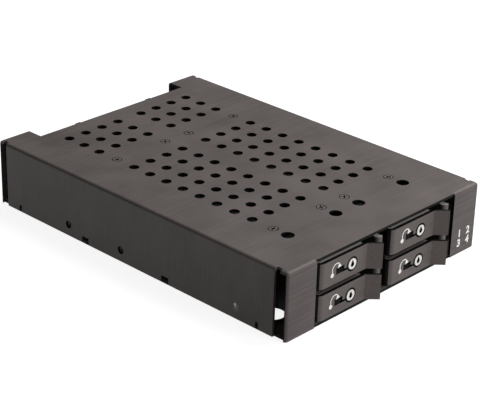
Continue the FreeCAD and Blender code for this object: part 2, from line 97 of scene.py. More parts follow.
def add_node(tree, kind, values=None, operation=None):
    node = tree.new("ShaderNode" + kind)
    if operation:
        node.operation = operation
    set_inputs(node, values or {})
    return node


def add_group(tree, group, values):
    node = tree.new("ShaderNodeGroup")
    node.node_tree = group
    set_inputs(node, values)
    return node


def mix_tones(tree, link, factor, dark, light):
    mix = tree.new("ShaderNodeMix")
    mix.data_type = "RGBA"
    link.new(factor, mix.inputs["Factor"])
    link.new(dark, mix.inputs["A"])
    link.new(light, mix.inputs["B"])
    return mix.outputs["Result"]


def make_brushed_lines():
    group, tree, link, start, end = new_group(
        "brushed_lines",
        {"Dark": "Color", "Light": "Color", "Along": "Vector"},
        {"Color": "Color", "Height": "Float", "Roughness": "Float"})
    place = tree.new("ShaderNodeTexCoord")
    stretch = add_node(tree, "VectorMath", operation="MULTIPLY")
    link.new(place.outputs["Object"], stretch.inputs[0])
    link.new(start.outputs["Along"], stretch.inputs[1])
    lines = add_node(tree, "TexNoise", LINE_NOISE)
    link.new(stretch.outputs[0], lines.inputs["Vector"])
    blotches = add_node(tree, "TexNoise", BLOTCH_NOISE)
    link.new(place.outputs["Object"], blotches.inputs["Vector"])
    weighed = add_node(tree, "Math", {1: LINE_SHARE}, "MULTIPLY")
    link.new(lines.outputs["Fac"], weighed.inputs[0])
    both = add_node(tree, "Math", {1: BLOTCH_SHARE}, "MULTIPLY_ADD")
    link.new(blotches.outputs["Fac"], both.inputs[0])
    link.new(weighed.outputs[0], both.inputs[2])
    tone = add_node(tree, "MapRange", TONE_SPAN)
    link.new(both.outputs[0], tone.inputs["Value"])
    colour = mix_tones(tree, link, tone.outputs["Result"], start.outputs["Dark"], start.outputs["Light"])
    rough = add_node(tree, "MapRange", LINE_ROUGHNESS)
    link.new(lines.outputs["Fac"], rough.inputs["Value"])
    link.new(colour, end.inputs["Color"])
    link.new(lines.outputs["Fac"], end.inputs["Height"])
    link.new(rough.outputs["Result"], end.inputs["Roughness"])
    return group


def patterned(name, group, values, bump, depth, metallic, gloss):
    material, tree, link = new_material(name)
    shader = tree["Principled BSDF"]
    pattern = add_group(tree, group, values)
    relief = add_node(tree, "Bump", {"Strength": bump, "Distance": depth})
    link.new(pattern.outputs["Height"], relief.inputs["Height"])
    link.new(pattern.outputs["Color"], shader.inputs["Base Color"])
    link.new(pattern.outputs["Roughness"], shader.inputs["Roughness"])
    link.new(relief.outputs["Normal"], shader.inputs["Normal"])
    set_inputs(shader, {"Metallic": metallic, "Specular IOR Level": gloss})
    return material


brushed_lines = make_brushed_lines()


def brushed_metal(name, dark, light, along, metallic, gloss=0.5, bump=0.02):
    values = {"Dark": (*dark, 1.0), "Light": (*light, 1.0), "Along": along}
    return patterned(name, brushed_lines, values, bump, LINE_DEPTH, metallic, gloss)


def dress(node, material):
    mesh = nodes[node].data
    mesh.materials.clear()
    mesh.materials.append(material)


def paint_where(node, material, test):
    mesh = nodes[node].data
    if material.name not in mesh.materials:
        mesh.materials.append(material)
    painted = mesh.materials.find(material.name)
    for polygon in mesh.polygons:
        if test(polygon.center, polygon.normal):
            polygon.material_index = painted


black_shell = brushed_metal("black_shell", dark=(0.062, 0.053, 0.051), light=(0.112, 0.095, 0.092),
                            along=LINES_ACROSS, metallic=0.05, gloss=0.18)
side_shell = brushed_metal("side_shell", dark=(0.064, 0.056, 0.054), light=(0.110, 0.096, 0.093),
                           along=LINES_DOWN, metallic=0.15, gloss=0.25)
# A near-black finish, used throughout as painted shade on edges, in gaps and in recesses.
painted_shade = brushed_metal("painted_shade", dark=(0.003, 0.003, 0.003), light=(0.007, 0.007, 0.007),
                         along=LINES_ACROSS, metallic=0.0, gloss=0.05)
dress("cover_shell", black_shell)
shell_low, shell_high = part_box("cover_shell")
paint_where("cover_shell", side_shell, lambda spot, way: abs(way.x) > SQUARE_ON)
# Painted shade: the cut ends at front and rear, the walls of the vents and the front edge of the top.
paint_where("cover_shell", painted_shade,
            lambda spot, way: abs(way.x) > SQUARE_ON
            and (spot.y < shell_low.y + SHEET or spot.y > shell_high.y - SHEET))
paint_where("cover_shell", painted_shade,
            lambda spot, way: abs(way.z) < SQUARE_ON and spot.z > shell_high.z - SHEET
            and abs(spot.x) < shell_high.x - 2 * SHEET and abs(spot.y) < shell_high.y - 2 * SHEET)
paint_where("cover_shell", painted_shade,
            lambda spot, way: abs(way.y) > SQUARE_ON and spot.z > shell_high.z - SHEET
            and abs(spot.x) < FRONT_OPENING)

# Bottom plate: the same blackened sheet, flat, with a tab in each notch of the side plates.
# Four countersunk screws hold it to the bay frame.
dress("bottom_plate", black_shell)
# Its edge faces are painted near black, as painted shade.
paint_where("bottom_plate", painted_shade, lambda spot, way: abs(way.z) < STEEP)

# Bay frame: one black moulding of glass-filled nylon with a fine grain. It carries the trays on
# ledges and is screwed to the cover, the bottom plate and the backplane.
GRAIN_BUMP = 0.15
GRAIN_DEPTH = 0.1 * MM
GRAIN_DETAIL = 4.0
ROUGHNESS_SPREAD = 0.08


def make_fine_grain():
    group, tree, link, start, end = new_group(
        "fine_grain",
        {"Dark": "Color", "Light": "Color", "Grain": "Float", "Detail": "Float",
         "Smoothest": "Float", "Roughest": "Float"},
        {"Color": "Color", "Height": "Float", "Roughness": "Float"})
    place = tree.new("ShaderNodeTexCoord")
    grain = tree.new("ShaderNodeTexNoise")
    link.new(place.outputs["Object"], grain.inputs["Vector"])
    link.new(start.outputs["Grain"], grain.inputs["Scale"])
    link.new(start.outputs["Detail"], grain.inputs["Detail"])
    colour = mix_tones(tree, link, grain.outputs["Fac"], start.outputs["Dark"], start.outputs["Light"])
    rough = tree.new("ShaderNodeMapRange")
    link.new(grain.outputs["Fac"], rough.inputs["Value"])
    link.new(start.outputs["Smoothest"], rough.inputs["To Min"])
    link.new(start.outputs["Roughest"], rough.inputs["To Max"])
    link.new(colour, end.inputs["Color"])
    link.new(grain.outputs["Fac"], end.inputs["Height"])
    link.new(rough.outputs["Result"], end.inputs["Roughness"])
    return group


fine_grain = make_fine_grain()


def moulded_plastic(name, dark, light, grain, rough, gloss):
    values = {"Dark": (*dark, 1.0), "Light": (*light, 1.0), "Grain": grain, "Detail": GRAIN_DETAIL,
              "Smoothest": rough - ROUGHNESS_SPREAD, "Roughest": rough + ROUGHNESS_SPREAD}
    return patterned(name, fine_grain, values, GRAIN_BUMP, GRAIN_DEPTH, metallic=0.0, gloss=gloss)


frame_plastic = moulded_plastic("frame_plastic", dark=(0.007, 0.007, 0.007), light=(0.014, 0.014, 0.014),
                                grain=3000.0, rough=0.7, gloss=0.15)
dress("bay_frame", frame_plastic)

# Cover screws: eight small countersunk cross-head screws of blackened steel, turned flush into the
# top, each at its own angle. The same kind holds the bottom plate. The sizes of a head and its
# cross are shares of the head's radius, and the drops of a pan head are shares of its height.
UP = Vector((0, 0, 1))
DOWN = Vector((0, 0, -1))
COVER_SHANK = 1.0 * MM
BASE_SHANK = 1.25 * MM
FLUSH = 0
SCREW_TURNS = (0.3, 1.1, 0.7, 1.4, 0.2, 0.9, 1.25, 0.5)
SCREW_SIDES = 32
HEAD_GAP = 0.05 * MM
HEAD_EDGE = 0.16
PAN_PROFILE = ((0, 0), (0.55, 0), (0.85, 0.12), (1, 0.45), (1, 1))
CROSS_LENGTH = 1.25
CROSS_WIDTH = 0.28
CROSS_DEPTH = 0.55
SHADE_BELOW = 0.03
SHADED_CROSS = 0.66
SHADED_RIM = 0.86
MERGE_DISTANCE = 1e-7
POLE_DISTANCE = 1e-8
PLACE_DIGITS = 5


def finished(bm, name, material):
    mesh = bpy.data.meshes.new(name)
    bm.to_mesh(mesh)
    bm.free()
    piece = bpy.data.objects.new(name, mesh)
    bpy.context.scene.collection.objects.link(piece)
    mesh.materials.append(material)
    return piece


def solid_boxes(node):
    bm = bmesh.new()
    bm.from_mesh(nodes[node].data)
    bmesh.ops.remove_doubles(bm, verts=bm.verts, dist=MERGE_DISTANCE)
    left = set(bm.verts)
    boxes = []
    while left:
        stack = [left.pop()]
        low, high = stack[0].co.copy(), stack[0].co.copy()
        while stack:
            vert = stack.pop()
            low = Vector(map(min, low, vert.co))
            high = Vector(map(max, high, vert.co))
            for edge in vert.link_edges:
                other = edge.other_vert(vert)
                if other in left:
                    left.discard(other)
                    stack.append(other)
        boxes.append((low, high))
    bm.free()
    return sorted(boxes, key=lambda box: [round(box[0][axis], PLACE_DIGITS) for axis in (1, 0, 2)])


def turned(outline, sides, closed=False):
    bm = bmesh.new()
    ring = [bm.verts.new((radius, 0, height)) for radius, height in outline]
    edges = [bm.edges.new(pair) for pair in zip(ring, ring[1:])]
    if closed:
        edges.append(bm.edges.new((ring[-1], ring[0])))
    bmesh.ops.spin(bm, geom=ring + edges, axis=(0, 0, 1), cent=(0, 0, 0), angle=2 * math.pi,
                   steps=sides, use_merge=True)
    bmesh.ops.remove_doubles(bm, verts=bm.verts, dist=POLE_DISTANCE)
    bmesh.ops.recalc_face_normals(bm, faces=bm.faces)
    return bm


def cut_with(piece, cutter):
    cut = piece.modifiers.new("cut", "BOOLEAN")
    cut.operation = "DIFFERENCE"
    cut.solver = "EXACT"
    cut.object = cutter
    graph = bpy.context.evaluated_depsgraph_get()
    mesh = bpy.data.meshes.new_from_object(piece.evaluated_get(graph))
    piece.modifiers.clear()
    piece.data = mesh
    bpy.data.objects.remove(cutter)


def cut_cross(piece, length, width, depth, height, turn, material):
    for angle in (turn, turn + math.pi / 2):
        bm = bmesh.new()
        place = Matrix.Translation((0, 0, height)) @ Matrix.Rotation(angle, 4, "Z")
        size = Matrix.Diagonal((length, width, 2 * depth, 1.0))
        bmesh.ops.create_cube(bm, size=1.0, matrix=place @ size)
        cut_with(piece, finished(bm, "cross_cutter", material))


def stand_on(piece, foot, upward):
    turn = upward.to_track_quat("Z", "Y").to_matrix().to_4x4()
    piece.data.transform(Matrix.Translation(foot) @ turn)


def cross_screw(name, node, body, box, outward, shank_radius, pan_height, turn, metal):
    low, high = box
    axis = max(range(3), key=lambda index: abs(outward[index]))
    top = (low + high) / 2
    top[axis] = high[axis] if outward[axis] > 0 else low[axis]
    length = high[axis] - low[axis]
    head_radius = (high.x - low.x) / 2
    if pan_height:
        outline = [(reach * head_radius, -drop * pan_height) for reach, drop in PAN_PROFILE]
        outline.append((shank_radius, -pan_height))
    else:
        head_radius -= HEAD_GAP
        edge = HEAD_EDGE * head_radius
        outline = [(0, 0), (head_radius - edge, 0), (head_radius, -edge),
                   (shank_radius, shank_radius - head_radius - edge)]
    outline += [(shank_radius, -length), (0, -length)]
    screw = finished(turned(outline, SCREW_SIDES), name, metal)
    cut_cross(screw, CROSS_LENGTH * head_radius, CROSS_WIDTH * head_radius, CROSS_DEPTH * head_radius,
              height=0, turn=turn, material=metal)
    # The cross recess and the chamfered rim of a flush head are painted near black, as painted shade.
    screw.data.materials.append(painted_shade)
    for face in screw.data.polygons:
        out = math.hypot(face.center.x, face.center.y) / head_radius
        in_shade = out < SHADED_CROSS or (not pan_height and out > SHADED_RIM)
        if in_shade and face.center.z < -SHADE_BELOW * head_radius:
            face.material_index = len(screw.data.materials) - 1
    stand_on(screw, top, outward)
    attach(screw, body)
    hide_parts(node)


def screw_set(name, node, outward, shank_radius, pan_height, metal):
    for number, (box, turn) in enumerate(zip(solid_boxes(node), SCREW_TURNS)):
        cross_screw(name + "_%d" % (number + 1), node, "chassis", box, outward, shank_radius, pan_height,
                    turn, metal)


dark_screw = brushed_metal("dark_screw", dark=(0.062, 0.055, 0.053), light=(0.145, 0.130, 0.126),
                           along=(900.0, 900.0, 900.0), metallic=0.25, bump=0.05)
screw_set("cover_screw", "cover_screws", UP, COVER_SHANK, FLUSH, dark_screw)
screw_set("base_screw", "base_screws", DOWN, BASE_SHANK, FLUSH, dark_screw)

# Side collars: threaded steel collars clinched behind the mounting holes of the side plates. The
# front pair is bright steel and the walls of its holes are painted light, as a painted highlight;
# the other collars are dark and the walls of their holes are painted near black, as painted shade.
RIGHTWARD = Vector((1, 0, 0))
THREAD_PITCH = 0.5 * MM
THREAD_DEPTH = 0.22 * MM
THREAD_CORE = 1.27 * MM
COLLAR_SIDES = 28
HOLE_REACH = 1.6 * MM
bright_steel = brushed_metal("bright_steel", dark=(0.42, 0.41, 0.39), light=(0.68, 0.67, 0.65),
                             along=(700.0, 700.0, 700.0), metallic=0.85)
# A light finish, used as a painted highlight on edges that catch the light.
painted_highlight = brushed_metal("painted_highlight", dark=(0.50, 0.475, 0.46), light=(0.68, 0.65, 0.63),
                          along=(60.0, 2500.0, 900.0), metallic=0.3)
collar_boxes = solid_boxes("side_nuts")
front_row = collar_boxes[0][0].y + HOLE_REACH


def in_side_hole(spot, way, front):
    middles = [(low + high) / 2 for low, high in collar_boxes if (low.y < front_row) == front]
    return (abs(way.x) < STEEP and abs(spot.x) > shell_high.x - SHEET
            and any(math.hypot(spot.y - hole.y, spot.z - hole.z) < HOLE_REACH for hole in middles))


# Painted highlight on the walls of the front holes, painted shade on the walls of the others.
paint_where("cover_shell", painted_highlight, lambda spot, way: in_side_hole(spot, way, True))
paint_where("cover_shell", painted_shade, lambda spot, way: in_side_hole(spot, way, False))
for number, (low, high) in enumerate(collar_boxes):
    length = high.x - low.x
    outer = (high.z - low.z) / 2
    outline = [(outer, 0), (outer, length)]
    for turn in range(round(length / THREAD_PITCH), 0, -1):
        outline.append((THREAD_CORE + THREAD_DEPTH, turn * THREAD_PITCH))
        outline.append((THREAD_CORE, (turn - 0.5) * THREAD_PITCH))
    outline.append((THREAD_CORE + THREAD_DEPTH, 0))
    highlighted_pair = low.y < front_row
    collar = finished(turned(outline, COLLAR_SIDES, closed=True), "threaded_collar_%d" % (number + 1),
                      bright_steel if highlighted_pair else dark_screw)
    stand_on(collar, Vector((low.x, (low.y + high.y) / 2, (low.z + high.z) / 2)), RIGHTWARD)
    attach(collar, "chassis")
    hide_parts("side_nuts")

# Backplane: a circuit board across the case behind the trays, with black solder mask over its
# copper tracks. Four pan-head screws hold it to bosses of the bay frame.
REARWARD = Vector((0, 1, 0))
BOARD_SHANK = 1.0 * MM
BOARD_PAN = 1.2 * MM
STANDING = (math.pi / 2, 0, 0)
TRACKS = {"Scale": 300.0, "Mortar Size": 0.05, "Color1": (0.008, 0.012, 0.010, 1.0),
          "Color2": (0.009, 0.014, 0.011, 1.0), "Mortar": (0.020, 0.038, 0.029, 1.0)}
MASK_NOISE = {"Scale": 400.0}
MASK_ROUGHNESS = {"To Min": 0.25, "To Max": 0.45}


def make_board_tracks():
    group, tree, link, start, end = new_group(
        "board_tracks", {"Turn": "Vector"}, {"Color": "Color", "Roughness": "Float"})
    place = tree.new("ShaderNodeTexCoord")
    flat = tree.new("ShaderNodeMapping")
    link.new(place.outputs["Object"], flat.inputs["Vector"])
    link.new(start.outputs["Turn"], flat.inputs["Rotation"])
    tracks = add_node(tree, "TexBrick", TRACKS)
    link.new(flat.outputs["Vector"], tracks.inputs["Vector"])
    sheen = add_node(tree, "TexNoise", MASK_NOISE)
    link.new(place.outputs["Object"], sheen.inputs["Vector"])
    rough = add_node(tree, "MapRange", MASK_ROUGHNESS)
    link.new(sheen.outputs["Fac"], rough.inputs["Value"])
    link.new(tracks.outputs["Color"], end.inputs["Color"])
    link.new(rough.outputs["Result"], end.inputs["Roughness"])
    return group


board_tracks = make_board_tracks()


def solder_mask(name, turn):
    material, tree, link = new_material(name)
    shader = tree["Principled BSDF"]
    pattern = add_group(tree, board_tracks, {"Turn": turn})
    link.new(pattern.outputs["Color"], shader.inputs["Base Color"])
    link.new(pattern.outputs["Roughness"], shader.inputs["Roughness"])
    return material


standing_board = solder_mask("standing_board", STANDING)
dress("backplane_board", standing_board)
screw_set("backplane_screw", "backplane_screws", REARWARD, BOARD_SHANK, BOARD_PAN, bright_steel)

# Backplane parts: two rows of chip capacitors with tinned ends and two controllers in black
# packages with their legs, soldered to the rear of the board.
CHIP_COLUMNS = (-6.4 * MM, 6.4 * MM)
CHIP_STEP = 2.3 * MM
CHIPS_IN_ROW = 9
CHIP_MIDDLE = (0.5 * MM, 0.4 * MM, 0.5 * MM)
CHIP_ENDS = (0.8 * MM, 0.36 * MM, 0.45 * MM)
CHIP_BEVEL = 0.05 * MM
CONTROLLER_PLACE = 31.3 * MM
PACKAGE_HALF = 2.0 * MM
PACKAGE_HEIGHT = 0.9 * MM
PACKAGE_BEVEL = 0.12 * MM
LEGS_IN_ROW = 7
LEG_PITCH = Vector((0, 0, 0.5)) * MM
LEG_REACH = 2.3 * MM
LEG_START = Vector((-0.4, 0, -0.11)) * MM
LEG_END = Vector((0.4, 0.18, 0.11)) * MM
LEG_BEVEL = 0.03 * MM
tinned = brushed_metal("tinned", dark=(0.45, 0.45, 0.45), light=(0.66, 0.66, 0.65),
                       along=(600.0, 600.0, 600.0), metallic=0.85)
gold = brushed_metal("gold_contact", dark=(0.62, 0.42, 0.13), light=(0.82, 0.60, 0.24),
                     along=(500.0, 500.0, 500.0), metallic=0.9)
chip_brown = moulded_plastic("chip_brown", dark=(0.10, 0.075, 0.055), light=(0.15, 0.115, 0.085),
                             grain=900.0, rough=0.5, gloss=0.4)
chip_black = moulded_plastic("chip_black", dark=(0.010, 0.010, 0.011), light=(0.018, 0.018, 0.019),
                             grain=1500.0, rough=0.55, gloss=0.3)


def add_bar(bm, corner, opposite, bevel):
    low = Vector(map(min, corner, opposite))
    high = Vector(map(max, corner, opposite))
    place = Matrix.Translation((low + high) / 2) @ Matrix.Diagonal((*(high - low), 1.0))
    made = bmesh.ops.create_cube(bm, size=1.0, matrix=place)
    edges = list({edge for vert in made["verts"] for edge in vert.link_edges})
    bmesh.ops.bevel(bm, geom=edges, offset=bevel, segments=1, affect="EDGES", profile=0.5, material=-1)


def row_of(middle, step, count):
    return [middle + step * (index - (count - 1) / 2) for index in range(count)]


def placed(bm, name, material, body):
    piece = finished(bm, name, material)
    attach(piece, body)


def add_chips(name, places, along, out, body):
    side = along.cross(out)
    middles, ends = bmesh.new(), bmesh.new()
    for bm, (reach, half_width, height) in ((middles, CHIP_MIDDLE), (ends, CHIP_ENDS)):
        flank = along * reach + side * half_width
        for place in places:
            add_bar(bm, place - flank, place + flank + out * height, CHIP_BEVEL)
    placed(middles, name + "_middles", chip_brown, body)
    placed(ends, name + "_ends", tinned, body)


board_low, board_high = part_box("backplane_board")
board_middle = (board_low + board_high) / 2
chip_places = []
for across in CHIP_COLUMNS:
    column = Vector((across, board_high.y, board_middle.z))
    chip_places += row_of(column, CHIP_STEP * UP, CHIPS_IN_ROW)
add_chips("backplane_chips", chip_places, RIGHTWARD, REARWARD, "chassis")
packages, legs = bmesh.new(), bmesh.new()
for side in (-1, 1):
    centre = Vector((side * CONTROLLER_PLACE, board_high.y, board_middle.z))
    half = PACKAGE_HALF * (RIGHTWARD + UP)
    add_bar(packages, centre - half, centre + half + PACKAGE_HEIGHT * REARWARD, PACKAGE_BEVEL)
    for edge in (-1, 1):
        for foot in row_of(centre + edge * LEG_REACH * RIGHTWARD, LEG_PITCH, LEGS_IN_ROW):
            add_bar(legs, foot + LEG_START, foot + LEG_END, LEG_BEVEL)
placed(packages, "controllers", chip_black, "chassis")
placed(legs, "controller_legs", tinned, "chassis")

# Connectors: black nylon sockets for the trays, four folded steel shells for the host cables and a
# power plug, all soldered to the backplane, with gold contacts along their tongues.
BAYS = ("lower_left", "lower_right", "upper_left", "upper_right")
POWER_CONTACTS = 15
POWER_PITCH = Vector((0, 0, 1.05)) * MM
POWER_START = Vector((0.58, 2.4, -0.33)) * MM
POWER_END = Vector((0.66, -1.3, 0.33)) * MM
TONGUE_HALF = 0.45 * MM
TONGUE_REACH = 6.11 * MM
TONGUE_ROOT = 1.6 * MM
TOUCHING = 0.001 * MM
HOST_CONTACTS = 19
HOST_PITCH = Vector((0.6, 0, 0)) * MM
HOST_START = Vector((-0.15, 2.0, -0.04)) * MM
HOST_END = Vector((0.15, -1.8, 0.04)) * MM
CONTACT_BEVEL = 0.02 * MM
connector_plastic = moulded_plastic("connector_plastic", dark=(0.006, 0.006, 0.007),
                                    light=(0.012, 0.012, 0.013), grain=2500.0, rough=0.55, gloss=0.3)
connector_metal = brushed_metal("connector_metal", dark=(0.34, 0.34, 0.34), light=(0.55, 0.55, 0.54),
                                along=(300.0, 300.0, 300.0), metallic=0.85)


def add_contacts(bm, near, far, pitch, count, start, end, bevel):
    for front, rear in zip(row_of(near, pitch, count), row_of(far, pitch, count)):
        add_bar(bm, front + start, rear + end, bevel)


dress("power_connector", connector_plastic)
low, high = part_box("power_connector")
middle = (low + high) / 2
contacts = bmesh.new()
add_contacts(contacts, Vector((middle.x, low.y, middle.z)), Vector((middle.x, high.y, middle.z)),
             POWER_PITCH, POWER_CONTACTS, POWER_START, POWER_END, CONTACT_BEVEL)
placed(contacts, "power_contacts", gold, "chassis")
for bay in BAYS:
    dress("tray_socket_" + bay, connector_plastic)
    dress("host_connector_" + bay, connector_metal)
    low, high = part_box("host_connector_" + bay)
    middle = (low + high) / 2
    paint_where("host_connector_" + bay, connector_plastic,
                lambda spot, way: abs(spot.z - middle.z) < TONGUE_HALF + TOUCHING
                and abs(spot.x - middle.x) < TONGUE_REACH and spot.y > low.y + TONGUE_ROOT)
    contacts = bmesh.new()
    for side in (-1, 1):
        face = middle.z + side * TONGUE_HALF
        add_contacts(contacts, Vector((middle.x, low.y, face)), Vector((middle.x, high.y, face)),
                     HOST_PITCH, HOST_CONTACTS, HOST_START, HOST_END, CONTACT_BEVEL)
    placed(contacts, "host_contacts_" + bay, gold, "chassis")

# Capacitors: two aluminium cans on the backplane, each with a rolled groove above its rubber seal
# and a cross scored into its end, so that it can vent. The outline is in shares of a can's radius
# and length, and the score in shares of its radius.
CAN_OUTLINE = ((0, 0), (0.92, 0), (1, 0.04), (1, 0.20), (0.90, 0.24), (0.90, 0.27), (1, 0.31),
               (1, 0.95), (0.93, 1), (0, 1))
CAN_SIDES = 32
SCORE_LENGTH = 1.3
SCORE_WIDTH = 0.12
SCORE_DEPTH = 0.12 * MM
SCORE_TURN = 0.4
capacitor_can = brushed_metal("capacitor_can", dark=(0.42, 0.42, 0.43), light=(0.62, 0.62, 0.63),
                              along=(200.0, 200.0, 200.0), metallic=0.85)
for number, (low, high) in enumerate(solid_boxes("board_capacitors")):
    radius = (high.x - low.x) / 2
    length = high.y - low.y
    outline = [(share * radius, height * length) for share, height in CAN_OUTLINE]
    can = finished(turned(outline, CAN_SIDES), "capacitor_%d" % (number + 1), capacitor_can)
    cut_cross(can, SCORE_LENGTH * radius, SCORE_WIDTH * radius, SCORE_DEPTH,
              height=length, turn=SCORE_TURN, material=capacitor_can)
    stand_on(can, Vector(((low.x + high.x) / 2, low.y, (low.z + high.z) / 2)), REARWARD)
    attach(can, "chassis")
    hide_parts("board_capacitors")

# Trays: folded and blackened aluminium, brushed lengthways. The top edge of each bezel is painted
# lighter than its face, as a painted highlight where it catches light under the cover; the upper
# trays take the brighter copy and the lower trays a darker one, as painted shade under the upper
# handles.
BEZEL_DEPTH = 2.0 * MM
EDGE_DEPTH = 4.0 * MM
EDGE_DROP = 0.4 * MM
tray_metal = brushed_metal("tray_metal", dark=(0.040, 0.037, 0.036), light=(0.072, 0.068, 0.066),
                           along=(3000.0, 60.0, 3000.0), metallic=0.25, gloss=0.3)
tray_face = brushed_metal("tray_face", dark=(0.066, 0.054, 0.051), light=(0.106, 0.089, 0.085),
                          along=(2500.0, 900.0, 25.0), metallic=0.15, gloss=0.3)
# The lower trays' copy of the bezel edge, darkened as painted shade.
shaded_bezel_edge = brushed_metal("shaded_bezel_edge", dark=(0.13, 0.12, 0.115), light=(0.20, 0.19, 0.185),
                           along=(60.0, 2500.0, 900.0), metallic=0.3)
for bay in BAYS:
    dress("tray_" + bay, tray_metal)
    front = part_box("tray_" + bay)[0].y
    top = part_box("handle_" + bay)[1].z
    paint_where("tray_" + bay, tray_face,
                lambda spot, way: abs(way.z) < STEEP and spot.y < front + BEZEL_DEPTH)
    # Painted highlight on the upper bezel edges, the darker copy as painted shade on the lower ones.
    paint_where("tray_" + bay, painted_highlight if bay.startswith("upper") else shaded_bezel_edge,
                lambda spot, way: way.z > SQUARE_ON and spot.z > top - EDGE_DROP
                and spot.y < front + EDGE_DEPTH)

# Tray boards: each carries a module socket with two rows of spring contacts, an edge plug with gold
# strips and a row of chip capacitors between them. A bright pin joins the tray to its handle.
LYING = (0, 0, 0)
SPRINGS_IN_ROW = 34
SPRING_PITCH = Vector((0.58, 0, 0)) * MM
SPRING_HEIGHTS = (1.33 * MM, 2.27 * MM)
SPRING_START = Vector((-0.13, 0.05, 0)) * MM
SPRING_END = Vector((0.13, 3.5, 0.1)) * MM
STRIPS_IN_ROW = 30
STRIP_PITCH = Vector((0.7, 0, 0)) * MM
STRIP_START = Vector((-0.2, -4.4, -0.03)) * MM
STRIP_END = Vector((0.2, -0.5, 0.03)) * MM
STRIP_BEVEL = 0.01 * MM
CHIPS_FROM_REAR = 3.15 * MM
lying_board = solder_mask("lying_board", LYING)
for bay in BAYS:
    body = "tray_body_" + bay
    dress("adapter_board_" + bay, lying_board)
    dress("module_socket_" + bay, connector_plastic)
    dress("edge_plug_" + bay, connector_plastic)
    dress("hinge_pin_" + bay, bright_steel)
    low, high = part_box("module_socket_" + bay)
    across = (low.x + high.x) / 2
    springs = bmesh.new()
    for height in SPRING_HEIGHTS:
        middle = Vector((across, low.y, low.z + height))
        add_contacts(springs, middle, middle, SPRING_PITCH, SPRINGS_IN_ROW, SPRING_START, SPRING_END,
                     CONTACT_BEVEL)
    placed(springs, "socket_springs_" + bay, gold, body)
    low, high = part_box("edge_plug_" + bay)
    strips = bmesh.new()
    for face in (low.z, high.z):
        middle = Vector((across, high.y, face))
        add_contacts(strips, middle, middle, STRIP_PITCH, STRIPS_IN_ROW, STRIP_START, STRIP_END,
                     STRIP_BEVEL)
    placed(strips, "plug_strips_" + bay, gold, body)
    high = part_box("adapter_board_" + bay)[1]
    places = row_of(Vector((across, high.y - CHIPS_FROM_REAR, high.z)), CHIP_STEP * RIGHTWARD, CHIPS_IN_ROW)
    add_chips("tray_chips_" + bay, places, REARWARD, UP, body)

# Module screws: one pan-head cross screw of bright steel on the front standoff of each tray. It
# slides with its tray.
MODULE_SHANK = 1.0 * MM
MODULE_PAN = 1.0 * MM
MODULE_TURN = 0.6
for bay in BAYS:
    cross_screw("module_screw_head_" + bay, "module_screw_" + bay, "tray_body_" + bay,
                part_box("module_screw_" + bay), UP, MODULE_SHANK, MODULE_PAN, MODULE_TURN, bright_steel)

# Handles: brushed and blackened aluminium plates, curled round the hinge pin at the left, with the
# brushing along their length and the finger end bent outwards at the right. The top and bottom edges
# of each plate and the left-facing face of its curl are painted near black, as painted shade. Each
# carries a lock bush and a latch button of black plastic, made near black as painted shade of the
# recess round the lock and of the latch slot.
CURL_REACH = 2.7 * MM
CURL_SHADE = -0.68
handle_metal = brushed_metal("handle_metal", dark=(0.066, 0.054, 0.051), light=(0.106, 0.089, 0.085),
                             along=(25.0, 900.0, 5200.0), metallic=0.15, gloss=0.3)
# Near-black plastic, darker than the frame's, also used as painted shade in the keyways of the locks.
black_plastic_and_shade = moulded_plastic("black_plastic_and_shade", dark=(0.003, 0.003, 0.003), light=(0.007, 0.007, 0.007),
                                grain=2500.0, rough=0.8, gloss=0.05)
for bay in BAYS:
    dress("handle_" + bay, handle_metal)
    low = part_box("handle_" + bay)[0]
    # Painted shade: the top and bottom edges and the left-facing part of the curl, painted near black.
    paint_where("handle_" + bay, painted_shade,
                lambda spot, way: abs(way.z) > SQUARE_ON
                or (way.x < CURL_SHADE and spot.x < low.x + CURL_REACH))
    # The bush and the button are black plastic, made near black as painted shade of their recesses.
    dress("lock_bush_" + bay, black_plastic_and_shade)
    dress("latch_button_" + bay, black_plastic_and_shade)

# Locks: a nickel-plated plug turns in the black bush of each handle. Its keyway is a drop-shaped
# slot whose walls are painted near black, as painted shade.
KEYWAY_FRONT = 0.02 * MM
KEYWAY_DEPTH = 1.2 * MM
KEYWAY_REACH = 1.55 * MM
lock_metal = brushed_metal("lock_metal", dark=(0.62, 0.60, 0.58), light=(0.80, 0.78, 0.76),
                           along=(500.0, 500.0, 500.0), metallic=0.4)
for bay in BAYS:
    dress("lock_plug_" + bay, lock_metal)
    low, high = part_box("lock_bush_" + bay)
    middle = (low + high) / 2
    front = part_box("lock_plug_" + bay)[0].y
    # Painted shade inside the keyway.
    paint_where("lock_plug_" + bay, black_plastic_and_shade,
                lambda spot, way: front + KEYWAY_FRONT < spot.y < front + KEYWAY_DEPTH
                and math.hypot(spot.x - middle.x, spot.z - middle.z) < KEYWAY_REACH)

# Lock marks: white ink printed on each handle, a dot, a thin arc up from it and an arrowhead that
# points at the latch window. They are placed from the middle of the lock.
DOT_ACROSS = -10.05 * MM
DOT_DROP = 0.85 * MM
DOT_RADIUS = 0.82 * MM
DOT_SIDES = 24
STEM_WIDTH = 0.38 * MM
STEM_FOOT = 0.97 * DOT_RADIUS
STEM_TOP = 0.9 * MM
BOW_RADIUS = 2.1 * MM
BOW_ANGLE = 120
BOW_STEPS = 14
ARROW_ACROSS = -6.57 * MM
ARROW_HEIGHT = 1.7 * MM
ARROW_RADIUS = 1.15 * MM
ARROW_TURN = 250
INK_HEIGHT = 0.02 * MM
INK_ROUGHNESS = 0.55
INK_TONES = {"Dark": (0.72, 0.71, 0.70, 1.0), "Light": (0.88, 0.87, 0.86, 1.0),
             "Grain": 2500.0, "Detail": 2.0}
FACING_FRONT = Matrix.Rotation(math.pi / 2, 4, "X")
white_ink, ink_nodes, ink_links = new_material("white_ink")
ink_grain = add_group(ink_nodes, fine_grain, INK_TONES)
ink_shader = ink_nodes["Principled BSDF"]
ink_links.new(ink_grain.outputs["Color"], ink_shader.inputs["Base Color"])
set_inputs(ink_shader, {"Roughness": INK_ROUGHNESS})
